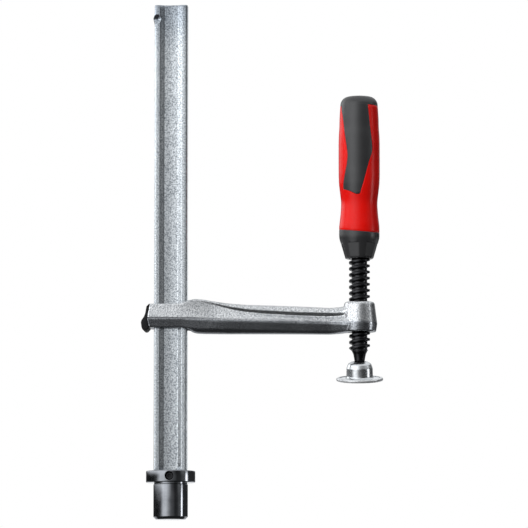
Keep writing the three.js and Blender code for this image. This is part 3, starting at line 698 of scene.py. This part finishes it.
# Outline as (height above the handle's lower end, radius).
NOSE = [(0.0, 10.9), (0.2, 11.3), (0.6, 11.6), (16.0, 16.1), (17.0, 16.3), (18.5, 16.4)]
SWELL = [
    (26.7, 16.4), (30, 15.95), (36.5, 15.24), (43.5, 14.78), (47, 14.82), (54, 15.68), (61, 16.48),
    (68.5, 16.78), (80, 16.8), (94, 16.78), (101, 16.6), (107, 16.12), (115, 15.95), (122, 15.55),
    (125.5, 15.25),
]
SIDE_TOP, SIDE_TOP_RADIUS = SWELL[-1]
CROWN_RADIAL, CROWN_HEIGHT = 6.8, 7.3  # the rounded edge of the handle's top
COLLAR_TOP, PANEL_LOW, CAP_LOW = 22.4, 53.0, 125.0
FLAT_HALF_ANGLE, FLAT_FIRST, FLAT_STEP, FLAT_LEDGE = 18, -18, 60, 12.2
GRIP_SKIN, GRIP_GAP = 2.0, 0.25
COLLAR_TILT_X, COLLAR_TILT_Y, COLLAR_TILT_REACH = -0.084, 0.071, 9.5  # slope of the collar's upper border
PANEL_RISE_REACH, PANEL_FREE_FROM, PANEL_FREE_OVER = 18.0, 26.0, 24.0  # where rows and columns follow a panel
SEAM_DEPTH, COLLAR_SEAM_DEPTH, SEAM_DRAW, CORE_SEAM_DRAW = 0.28, 0.2, 0.12, 0.02

# Edges of the front grip panel: height above the handle's lower end against degrees round from the front.
PANEL_LEFT = [
    (124.5, -71), (116, -57), (101, -44), (90.5, -36), (84, -32.8), (77, -35), (69.5, -42), (63, -48),
    (56, -53),
]
PANEL_RIGHT = [
    (124.5, 30.5), (107.5, 36), (98, 40), (90, 43), (86.5, 42.2), (78, 30.4), (69.5, 22), (61.5, 14.5),
    (53, 5),
]
PANEL_FOOT = [(-53, 3.0), (-30, 1.3), (-8, -1.6), (2, -1.6), (5, -0.4)]  # degrees round, rise over PANEL_LOW
EDGE_LEFT, EDGE_RIGHT = -45, 27  # the two columns of the surface grid that follow the panel's edges
ROW_STEP, ROW_CLOSE, COLUMN_STEP, COLUMN_CLOSE = 1.2, 0.35, 3, 1.3  # in millimetres and in degrees
OUTLINE_SOFT, PANEL_SOFT, FOOT_SOFT = 2.5, 2.0, 1.5  # how far corners of these curves are rounded off


def smooth_curve(pairs, at, width):
    """Piecewise-linear curve through pairs, rounded off over about width."""
    xs, ys = np.array(sorted(pairs), float).T
    offsets = np.linspace(-width, width, 9)
    weights = np.hanning(11)[1:-1]
    value = sum(w * np.interp(at + o, xs, ys) for o, w in zip(offsets, weights))
    return value / weights.sum()


def handle_radius(height):
    """The outline's radius, rounded off above the nose cone."""
    sharp = np.interp(height, *np.array(NOSE + SWELL).T)
    return np.where(height > 20, smooth_curve(NOSE + SWELL, height, OUTLINE_SOFT), sharp)


def handle_rows():
    """Heights of the grid's rows on the side, closer beside each border, and the three border rows."""
    spans = [
        [0.0, 0.2, 0.6], np.arange(1.8, 11.9, ROW_STEP), [11.95, FLAT_LEDGE, 12.5],
        np.arange(13.5, 22, ROW_STEP), [COLLAR_TOP - ROW_CLOSE, COLLAR_TOP, COLLAR_TOP + ROW_CLOSE],
        np.arange(24, 52, ROW_STEP), [PANEL_LOW - ROW_CLOSE, PANEL_LOW, PANEL_LOW + ROW_CLOSE],
        np.arange(54.5, 123.8, ROW_STEP), [CAP_LOW - ROW_CLOSE, CAP_LOW, CAP_LOW + ROW_CLOSE],
    ]
    rows = np.concatenate([np.asarray(s, float) for s in spans])
    return rows, [int(np.argmin(abs(rows - h))) for h in (COLLAR_TOP, PANEL_LOW, CAP_LOW)]


def handle_columns():
    """Degrees round of the grid's columns, closer beside each edge of a panel, and the four edge columns."""
    knots = [EDGE_LEFT, EDGE_RIGHT, EDGE_LEFT + 180, EDGE_RIGHT + 180]
    close = [k + d for k in knots for d in (-COLUMN_CLOSE, COLUMN_CLOSE)]
    even = set(range(EDGE_LEFT, EDGE_LEFT + 360, COLUMN_STEP))
    columns = sorted(even | {c if c >= EDGE_LEFT else c + 360 for c in close})
    return np.array(columns, float), [columns.index(k) for k in knots]


def ease(share):
    """Nothing to one, with a soft start and end."""
    t = np.clip(share, 0, 1)
    return t * t * (3 - 2 * t)


def fade(distance, reach):
    """One at no distance, easing to nothing at reach."""
    return ease(1 - abs(distance) / reach)


def handle_surface():
    """Radius, turn and height of every point of the outer surface's grid."""
    rows, borders = handle_rows()
    columns, edges = handle_columns()
    height, base = np.meshgrid(rows, columns, indexing="ij")
    left = smooth_curve(PANEL_LEFT, height, PANEL_SOFT)
    right = smooth_curve(PANEL_RIGHT, height, PANEL_SOFT)
    free = ease((height - PANEL_FREE_FROM) / PANEL_FREE_OVER)
    left, right = EDGE_LEFT + (left - EDGE_LEFT) * free, EDGE_RIGHT + (right - EDGE_RIGHT) * free
    half = np.where(base >= EDGE_LEFT + 180, 180.0, 0.0)
    local = base - half
    inside = local <= EDGE_RIGHT
    share = np.where(inside, (local - EDGE_LEFT) / (EDGE_RIGHT - EDGE_LEFT),
                     (local - EDGE_RIGHT) / (EDGE_LEFT + 180 - EDGE_RIGHT))
    turn = np.where(inside, left + (right - left) * share, right + (left + 180 - right) * share) + half
    foot = PANEL_FOOT + [(PANEL_FOOT[0][0] + 180, PANEL_FOOT[0][1])]
    rise = smooth_curve(foot, turn - half, FOOT_SOFT) * fade(height - PANEL_LOW, PANEL_RISE_REACH)
    angle = np.radians(turn - 90)
    tilt = (COLLAR_TILT_X * np.cos(angle) + COLLAR_TILT_Y * np.sin(angle)) * NOSE[-1][1]
    rise = rise + tilt * fade(height - COLLAR_TOP, COLLAR_TILT_REACH)
    height = height + rise
    radius = handle_radius(height)
    near = (local - FLAT_FIRST + FLAT_STEP / 2) % FLAT_STEP - FLAT_STEP / 2
    flat = radius * math.cos(math.radians(FLAT_HALF_ANGLE)) / np.cos(np.radians(near))
    on_flat = (height <= FLAT_LEDGE) & (abs(near) <= FLAT_HALF_ANGLE) & (height > 0.1)
    radius = np.where(on_flat, np.minimum(flat, radius), radius)
    return radius, angle, height, borders, edges


def handle_points(radius, angle, height):
    """A grid of points from radii, turns and heights above the handle's lower end."""
    x, y = SCREW_X + radius * np.cos(angle), radius * np.sin(angle)
    return np.stack([x, y, HANDLE_BOTTOM + height], axis=-1)


def add_crown(radius, angle, height, inset):
    """Rows over the handle's rounded top, continued from the last row of the side."""
    turns = np.radians(np.arange(0, 90.1, 6))
    rings = [(SIDE_TOP_RADIUS - CROWN_RADIAL + (CROWN_RADIAL - inset) * math.cos(t),
              SIDE_TOP + (CROWN_HEIGHT - inset) * math.sin(t)) for t in turns]
    flat_r, flat_h = rings[-1]
    rings += [(flat_r * s, flat_h + 0.1 * (1 - s)) for s in (0.7, 0.4, 0.12)]
    count = radius.shape[1]
    more_r = np.array([[r] * count for r, _ in rings])
    more_h = np.array([[h] * count for _, h in rings])
    return (np.vstack([radius, more_r]), np.vstack([angle, np.repeat(angle[-1:], len(rings), axis=0)]),
            np.vstack([height, more_h]))


def sink_border(points, mask, depth, shift):
    """Pulls the border of a region of the grid inwards, so that it meets its neighbour in a fine groove.

    depth is in millimetres, and shift is the share of a cell that the border draws back.
    """
    rows, count = points.shape[:2]
    cells = np.zeros((rows, count), int)
    inside = np.zeros((rows, count), int)
    for i in range(rows - 1):
        for j in range(count):
            for a, b in ((i, j), (i, (j + 1) % count), (i + 1, j), (i + 1, (j + 1) % count)):
                cells[a, b] += 1
                inside[a, b] += mask[i, j]
    border = (inside > 0) & (inside < cells)
    full = inside == cells
    moved = points.copy()
    for i, j in zip(*np.nonzero(border)):
        around = [(a, b % count) for a in (i - 1, i, i + 1) for b in (j - 1, j, j + 1) if 0 <= a < rows]
        deep = [points[a, b] for a, b in around if full[a, b]]
        if deep:
            moved[i, j] += (np.mean(deep, axis=0) - points[i, j]) * shift
        outward = moved[i, j, :2] - np.array([SCREW_X, 0])
        moved[i, j, :2] -= outward / np.linalg.norm(outward) * depth
    return moved


def region_shell(name, outer, inner, mask, hubs=None):
    """A closed solid from the cells of a grid region: outer skin, inner skin and the walls between."""
    rows, count = outer.shape[:2]
    points = np.concatenate([outer.reshape(-1, 3), inner.reshape(-1, 3)])
    layer = rows * count
    at = lambda i, j, skin: skin * layer + i * count + j % count
    faces = []
    cell = lambda i, j: 0 <= i < rows - 1 and mask[i, j % count]
    for i in range(rows - 1):
        for j in range(count):
            if not mask[i, j]:
                continue
            corners = [(i, j), (i, j + 1), (i + 1, j + 1), (i + 1, j)]
            faces += [[at(a, b, skin) for a, b in corners] for skin in (0, 1)]
            sides = (((i - 1, j), (0, 1)), ((i, j + 1), (1, 2)), ((i + 1, j), (2, 3)), ((i, j - 1), (3, 0)))
            for neighbour, (p, q) in sides:
                capped = neighbour[0] == rows - 1 and hubs is not None
                if not cell(*neighbour) and not capped:
                    (a, b), (c, d) = corners[p], corners[q]
                    faces.append([at(a, b, 0), at(c, d, 0), at(c, d, 1), at(a, b, 1)])
    if hubs is not None:
        points = np.concatenate([points, np.array(hubs)])
        for skin in (0, 1):
            faces += [[at(rows - 1, j, skin), at(rows - 1, j + 1, skin), 2 * layer + skin]
                      for j in range(count)]
    return from_used(name, points, faces)


def core_solid(name, outer, sunk, mask, first):
    """The red body: its own skin where it shows, a sunk skin under the grip, and a bore for the tang."""
    rows, count = outer.shape[:2]
    layer = rows * count
    bore_r, bore_top = TANG + TANG_CLEARANCE, HANDLE_BOTTOM + HANDLE_BORE
    around = sunk[first, :, :2] - np.array([SCREW_X, 0])
    around /= np.linalg.norm(around, axis=1)[:, None]
    ring = np.column_stack([SCREW_X + around[:, 0] * bore_r, around[:, 1] * bore_r, outer[first, :, 2]])
    high = np.column_stack([ring[:, :2], np.full(count, bore_top)])
    hubs = np.array([[SCREW_X, 0, bore_top], [SCREW_X, 0, sunk[-1, 0, 2]]])
    points = np.concatenate([outer.reshape(-1, 3), sunk.reshape(-1, 3), ring, high, hubs])
    at = lambda i, j, skin: skin * layer + i * count + j % count
    extra = 2 * layer
    faces = []
    for i in range(first, rows - 1):
        for j in range(count):
            corners = [(i, j), (i, j + 1), (i + 1, j + 1), (i + 1, j)]
            skin = 0 if mask[i, j] else 1
            faces.append([at(a, b, skin) for a, b in corners])
            for (a, b), (p, q) in (((i, j + 1), (1, 2)), ((i + 1, j), (2, 3))):
                if a < rows - 1 and mask[i, j] != mask[a, b % count]:
                    (c, d), (e, f) = corners[p], corners[q]
                    faces.append([at(c, d, 0), at(e, f, 0), at(e, f, 1), at(c, d, 1)])
    for j in range(count):
        k = (j + 1) % count
        faces.append([at(first, j, 0), at(first, k, 0), extra + k, extra + j])
        faces.append([extra + j, extra + k, extra + count + k, extra + count + j])
        faces.append([extra + count + j, extra + count + k, extra + 2 * count])
        faces.append([at(rows - 1, j, 1), at(rows - 1, k, 1), extra + 2 * count + 1])
    return from_used(name, points, faces)


def make_handle():
    """Grip, red body and collar, which share one grid over the handle's surface."""
    radius, angle, height, borders, edges = handle_surface()
    collar_row, panel_row, cap_row = borders
    shown = add_crown(radius, angle, height, 0)
    under = add_crown(radius - GRIP_SKIN, angle, height, GRIP_SKIN)
    sunk = add_crown(radius - GRIP_SKIN - GRIP_GAP, angle, height, GRIP_SKIN + GRIP_GAP)
    rows, count = shown[0].shape
    i, j = np.meshgrid(np.arange(rows), np.arange(count), indexing="ij")
    front = (j >= edges[0]) & (j < edges[1])
    back = (j >= edges[2]) & (j < edges[3])
    collar = i < collar_row
    grip = (i >= cap_row) | ((i >= panel_row) & (front | back))
    core = ~collar & ~grip

    outer = handle_points(*shown)
    top = HANDLE_BOTTOM + HANDLE_LENGTH
    grip_outer = sink_border(outer, grip, SEAM_DEPTH, SEAM_DRAW)
    piece = region_shell("grip_moulding", grip_outer, handle_points(*under), grip,
                         [(SCREW_X, 0, top), (SCREW_X, 0, top - GRIP_SKIN)])
    finish_piece(piece, "spindle", "dark_grip", LOOKS["dark_grip"], "handle_grip")

    core_outer = sink_border(outer, core, SEAM_DEPTH, CORE_SEAM_DRAW)
    piece = core_solid("handle_body", core_outer, handle_points(*sunk), core, collar_row)
    finish_piece(piece, "spindle", "red_plastic", LOOKS["red_plastic"], "handle_core")

    collar_outer = sink_border(outer, collar, COLLAR_SEAM_DEPTH, SEAM_DRAW)
    bore = np.full(shown[0].shape, THREAD_MAJOR + FERRULE_CLEARANCE)
    inner = handle_points(bore, shown[1], shown[2])
    piece = region_shell("nose_ferrule", collar_outer, inner, collar)
    finish_piece(piece, "spindle", "dark_grip", LOOKS["dark_grip"], "handle_collar")


# ------------------------------------------------------------------ CAD nodes that stay

HIDDEN_NODES = {
    "bolt_grub_screw": "black_oxide", "brake_shoe": "spring_steel", "brake_spring": "spring_steel",
    "ball_seat": "spring_steel", "ball_ring": "spring_steel",
}


def dress_hidden_nodes():
    """Materials on the inner pieces, which keep their CAD meshes."""
    for node, slot in HIDDEN_NODES.items():
        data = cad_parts[node].data
        data.materials.clear()
        data.materials.append(LOOKS[slot])


# ------------------------------------------------------------------ stage, light and camera

VIEW_CENTRE = Vector((0.0758, 0, 0.178))
VIEW_YAW, VIEW_RISE = math.radians(3.0), math.radians(-5.8)
VIEW_DISTANCE, VIEW_WIDTH, SENSOR = 3.5, 0.430, 36.0
CLAMP_MIDDLE = Vector((0.08, 0, 0.18))


def make_camera():
    """A long lens in front of the clamp, slightly below and to its right."""
    data = bpy.data.cameras.new("camera")
    data.sensor_width = SENSOR
    data.lens = SENSOR * VIEW_DISTANCE / VIEW_WIDTH
    data.clip_start, data.clip_end = 0.1, 50
    camera = bpy.data.objects.new("camera", data)
    bpy.context.scene.collection.objects.link(camera)
    level = math.cos(VIEW_RISE)
    back = Vector((math.sin(VIEW_YAW) * level, -math.cos(VIEW_YAW) * level, math.sin(VIEW_RISE)))
    camera.location = VIEW_CENTRE + back * VIEW_DISTANCE
    camera.rotation_mode = "QUATERNION"
    camera.rotation_quaternion = (-back).to_track_quat("-Z", "Y")
    bpy.context.scene.camera = camera


def softbox(name, place, width, height, power):
    """A soft light aimed at the clamp's middle, which doesn't show in reflections."""
    data = bpy.data.lights.new(name, "AREA")
    data.shape, data.size, data.size_y, data.energy = "RECTANGLE", width, height, power
    light = bpy.data.objects.new(name, data)
    bpy.context.scene.collection.objects.link(light)
    light.location = place
    light.rotation_mode = "QUATERNION"
    light.rotation_quaternion = (CLAMP_MIDDLE - Vector(place)).to_track_quat("-Z", "Y")
    light.visible_glossy = False


# The studio round the clamp, as (degrees round from the front, towards +X; brightness): at the level of the
# horizon, above it and below it. STUDIO_LOW is how low each side's light reaches, as (degrees round, height
# of a unit direction).
STUDIO_ROUND = [
    (-180, 1.0), (-172, 1.0), (-166, 0.04), (-100, 0.02), (-80, 0.03), (-66, 0.14), (-54, 0.9), (-47, 1.4),
    (-28, 1.4), (-18, 0.95), (-8, 0.57), (-3, 0.43), (3, 0.27), (10, 0.2), (22, 0.15), (34, 0.05), (50, 0.06),
    (60, 0.16), (71, 0.17), (77, 0.1), (80, 4.0), (88, 4.0), (92, 0.06), (166, 0.04), (172, 1.0), (180, 1.0),
]
STUDIO_ABOVE = [
    (-180, 1.0), (-172, 1.0), (-166, 0.1), (-150, 0.2), (-138, 1.6), (-64, 1.6), (-54, 1.8), (-25, 1.8),
    (-16, 1.4), (-8, 1.05), (-4, 0.77), (3, 0.45), (10, 0.18), (30, 0.03), (48, 0.06), (58, 0.26), (70, 0.28),
    (76, 0.1), (80, 0.8), (90, 0.8), (94, 0.06), (140, 0.06), (152, 0.5), (166, 0.1), (172, 1.0), (180, 1.0),
]
STUDIO_BELOW = [
    (-180, 1.0), (-168, 0.7), (-140, 0.6), (-116, 0.1), (-98, 0.04), (-80, 0.04), (-66, 0.3), (-54, 1.1),
    (-47, 1.3), (-28, 1.1), (-16, 0.6), (-6, 0.36), (2, 0.26), (12, 0.16), (30, 0.04), (76, 0.04), (80, 1.3),
    (92, 1.3), (97, 0.12), (115, 0.2), (130, 0.7), (168, 0.7), (180, 1.0),
]
STUDIO_LOW = [(-180, -0.55), (-22, -0.5), (-12, -0.25), (98, -0.25), (112, -0.55), (180, -0.55)]
BRIGHTEST = 8.0  # bound for the values in the first three tables

# Heights of a unit direction between which one table gives way to the next, and the levels beyond them.
BELOW_TO_ROUND, ROUND_TO_ABOVE, ABOVE_TO_TOP = (-0.13, -0.07), (0.07, 0.13), (0.30, 0.62)
LOW_BLEND, FLOOR_LEVEL, TOP_LEVEL = 0.05, 0.03, 0.85
COOL = (0.98, 1.0, 1.02)


def blend(tree, share, a, b):
    """A value that goes from a to b as share goes from 0 to 1."""
    return sums(tree, "MULTIPLY_ADD", share, sums(tree, "SUBTRACT", b, a), a)


def make_world():
    """White to the camera, and to everything else a studio with bright and dark sides."""
    world = bpy.data.worlds.new("studio")
    bpy.context.scene.world = world
    world.use_nodes = True
    tree = world.node_tree
    x, y, z = split(tree, tree.nodes.new("ShaderNodeTexCoord").outputs["Generated"])
    turn = sums(tree, "ARCTAN2", x, sums(tree, "MULTIPLY", y, -1.0))
    degrees = sums(tree, "MULTIPLY", turn, 180 / math.pi)
    below, level, above = (curve(tree, degrees, table, 0, BRIGHTEST)
                           for table in (STUDIO_BELOW, STUDIO_ROUND, STUDIO_ABOVE))
    sides = blend(tree, spread(tree, z, 0, 1, *BELOW_TO_ROUND), below, level)
    sides = blend(tree, spread(tree, z, 0, 1, *ROUND_TO_ABOVE), sides, above)
    over_low = sums(tree, "SUBTRACT", z, curve(tree, degrees, STUDIO_LOW, -1, 1))
    sides = blend(tree, spread(tree, over_low, 0, 1, 0, LOW_BLEND), FLOOR_LEVEL, sides)
    all_round = blend(tree, spread(tree, z, 0, 1, *ABOVE_TO_TOP), sides, TOP_LEVEL)
    studio = tree.nodes.new("ShaderNodeVectorMath")
    studio.operation = "SCALE"
    studio.inputs[0].default_value = COOL
    tree.links.new(all_round, studio.inputs["Scale"])
    seen = tree.nodes.new("ShaderNodeLightPath").outputs["Is Camera Ray"]
    tree.links.new(mix(tree, seen, studio.outputs[0], WHITE), tree.nodes["Background"].inputs["Color"])


def make_lights():
    """A key light from the left and a weak one from above."""
    softbox("key_left", (-1.3, -1.9, 0.9), 1.0, 1.4, 36)
    softbox("top", (0.1, -0.3, 2.0), 1.6, 1.0, 3.5)


bpy.context.scene.view_settings.view_transform = "Standard"
make_camera()
make_world()
make_lights()
make_rail()
make_bolt()
make_arm()
make_slip_guard()
make_spindle()
make_pad()
make_handle()
dress_hidden_nodes()
